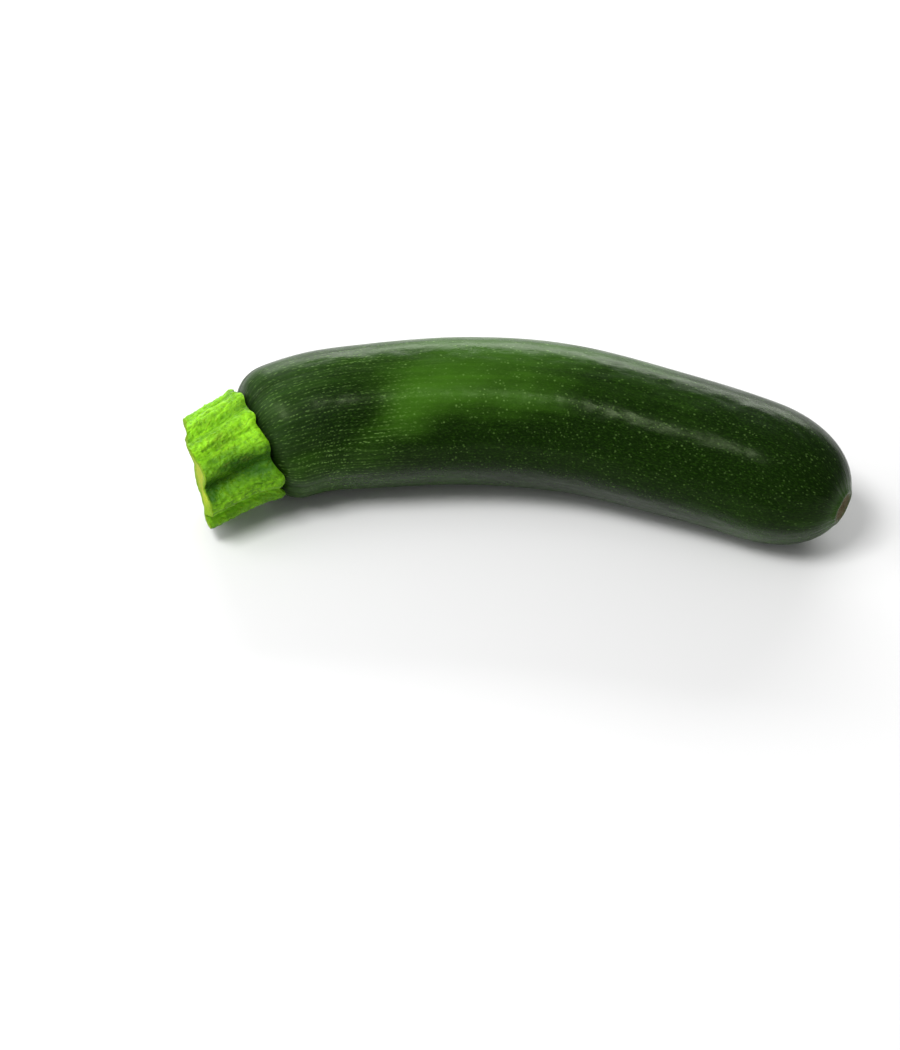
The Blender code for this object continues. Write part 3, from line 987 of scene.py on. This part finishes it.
# Soft lights: degrees round from the front and up from the floor; distance, width and depth in
# metres; and watts
LIGHTS = {
    "key": (-41.0, 63.0, 0.90, 0.38, 0.24, 5.9),
    "top": (10.0, 80.0, 1.30, 1.30, 0.80, 0.5),
    "rim": (180.0, 25.0, 1.20, 1.38, 0.30, 12.0),
    "back": (180.0, 8.0, 1.20, 2.40, 0.36, 4.0),
    "left": (-75.0, 38.0, 1.00, 0.80, 0.80, 5.0),
}


def direction(azimuth, elevation):
    """Return the way out to a place round the object, with angles in degrees."""
    a, e = math.radians(azimuth), math.radians(elevation)
    return Vector((math.sin(a) * math.cos(e), -math.cos(a) * math.cos(e), math.sin(e)))


def soft_light(name, azimuth, elevation, distance, width, depth, power):
    """Add a soft box that faces the fruit."""
    lamp = bpy.data.lights.new(name, "AREA")
    lamp.shape = "RECTANGLE"
    lamp.size, lamp.size_y = width, depth
    lamp.energy = power
    box = bpy.data.objects.new(name, lamp)
    bpy.context.scene.collection.objects.link(box)
    way = direction(azimuth, elevation)
    box.location = CROWN + way * distance
    box.rotation_euler = way.to_track_quat("Z", "Y").to_euler()


# From the crown of the centre line to the spot on the floor in the middle of the picture
AIM = Vector((-0.003085, -0.026328, -0.02345))
WHITE = (1.0, 1.0, 1.0, 1.0)
FLOOR_SIZE = 12.0           # m
FLOOR_ROUGHNESS = 0.6
FLOOR_SPECULAR = 0.2
NEAREST = 0.01              # m from the camera that it still shows


class ZUCCHINI_OT_stage(bpy.types.Operator):
    """Add the pale floor, the soft lights and the camera"""

    bl_idname = "zucchini.stage"
    bl_label = "Stage"

    def execute(self, context):
        look = context.scene.zucchini_stage
        bpy.ops.object.select_all(action="DESELECT")
        bpy.ops.mesh.primitive_plane_add(size=FLOOR_SIZE)
        floor = context.object
        floor.name = "floor"
        bench = Bench("floor")
        floor.data.materials.append(bench.finish(
            Base_Color=opaque(look.floor), Roughness=FLOOR_ROUGHNESS,
            Specular_IOR_Level=FLOOR_SPECULAR))
        for name, values in LIGHTS.items():
            soft_light(name, *values)
        world = bpy.data.worlds.new("studio")
        world.use_nodes = True
        background = world.node_tree.nodes["Background"]
        background.inputs["Color"].default_value = WHITE
        background.inputs["Strength"].default_value = look.sky
        context.scene.world = world

        camera = bpy.data.cameras.new("camera")
        camera.lens = look.lens
        camera.clip_start = NEAREST
        stand = bpy.data.objects.new("camera", camera)
        context.scene.collection.objects.link(stand)
        way = direction(math.degrees(look.camera_azimuth), math.degrees(look.camera_elevation))
        stand.location = CROWN + way * look.camera_distance
        stand.rotation_euler = (stand.location - CROWN - AIM).to_track_quat("Z", "Y").to_euler()
        context.scene.camera = stand
        context.scene.view_settings.view_transform = "Standard"
        return {"FINISHED"}


class ZUCCHINI_PT_panel(bpy.types.Panel):
    """Buttons that add each piece"""

    bl_label = "Zucchini"
    bl_idname = "ZUCCHINI_PT_panel"
    bl_space_type = "VIEW_3D"
    bl_region_type = "UI"
    bl_category = "Zucchini"

    def draw(self, context):
        for operator, settings in (("zucchini.fruit", "zucchini_fruit"),
                                   ("zucchini.stem", "zucchini_stem"),
                                   ("zucchini.stage", "zucchini_stage")):
            box = self.layout.box()
            box.operator(operator)
            group = getattr(context.scene, settings)
            for name in group.__annotations__:
                box.prop(group, name)


CLASSES = (
    FruitSettings, StemSettings, StageSettings,
    ZUCCHINI_OT_fruit, ZUCCHINI_OT_stem, ZUCCHINI_OT_stage, ZUCCHINI_PT_panel,
)


def register():
    """Add the settings, the operators and the panel."""
    for cls in CLASSES:
        bpy.utils.register_class(cls)
    bpy.types.Scene.zucchini_fruit = PointerProperty(type=FruitSettings)
    bpy.types.Scene.zucchini_stem = PointerProperty(type=StemSettings)
    bpy.types.Scene.zucchini_stage = PointerProperty(type=StageSettings)


def unregister():
    """Take them out again, the last one first."""
    del bpy.types.Scene.zucchini_stage
    del bpy.types.Scene.zucchini_stem
    del bpy.types.Scene.zucchini_fruit
    for cls in reversed(CLASSES):
        bpy.utils.unregister_class(cls)


def main():
    """Register the add-on, then add every piece and the stage."""
    register()
    bpy.ops.zucchini.fruit()
    bpy.ops.zucchini.stem()
    bpy.ops.zucchini.stage()


if __name__ == "__main__":
    main()
